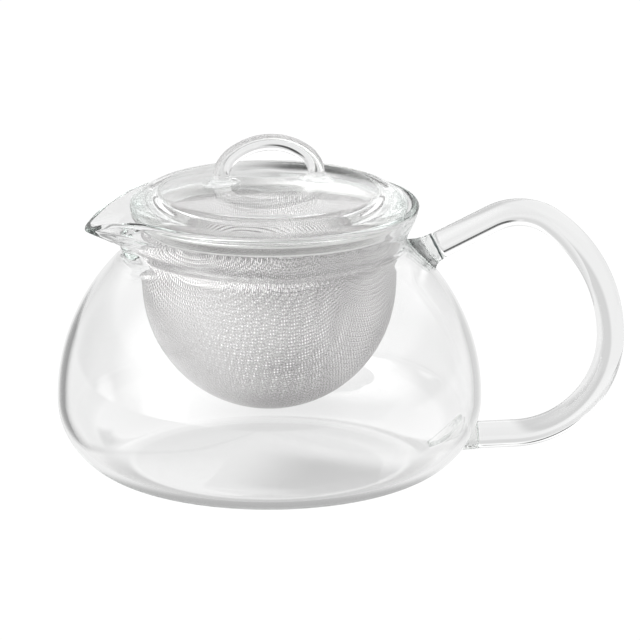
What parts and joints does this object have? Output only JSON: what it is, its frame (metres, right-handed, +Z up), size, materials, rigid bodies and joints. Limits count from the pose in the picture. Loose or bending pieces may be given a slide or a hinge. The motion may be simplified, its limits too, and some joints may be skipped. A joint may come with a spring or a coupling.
{
  "type": "glass teapot with infuser",
  "caption": "Round clear glass teapot with a pulled pouring lip, bent rod handle, lift-out woven steel infuser and loose glass lid with a loop.",
  "frame": {"origin": "centre of the flat base, on the surface that the pot stands on", "axes": "+Z up along the axis of the bowl, +X towards the handle, -X towards the pouring lip"},
  "size_m": [0.1598, 0.118, 0.0952],
  "materials": {
    "clear_glass": "fire polished",
    "steel_sheet": "satin",
    "steel_mesh": "bright woven wire"
  },
  "bodies": {
    "pot": {"pot_body": "clear_glass", "handle_rod": "clear_glass", "handle_upper_weld": "clear_glass", "handle_lower_weld": "clear_glass"},
    "infuser": {"infuser_collar": "steel_sheet", "infuser_mesh": "steel_mesh"},
    "lid": {"lid_dome": "clear_glass", "lid_loop": "clear_glass", "lid_loop_welds": "clear_glass"}
  },
  "joints": [
    {"name": "infuser_lift", "type": "slide", "parent": "pot", "child": "infuser", "axis": [0, 0, 1], "range_m": [0, 0.075]},
    {"name": "lid_lift", "type": "slide", "parent": "infuser", "child": "lid", "axis": [0, 0, 1], "range_m": [0, 0.055]}
  ]
}
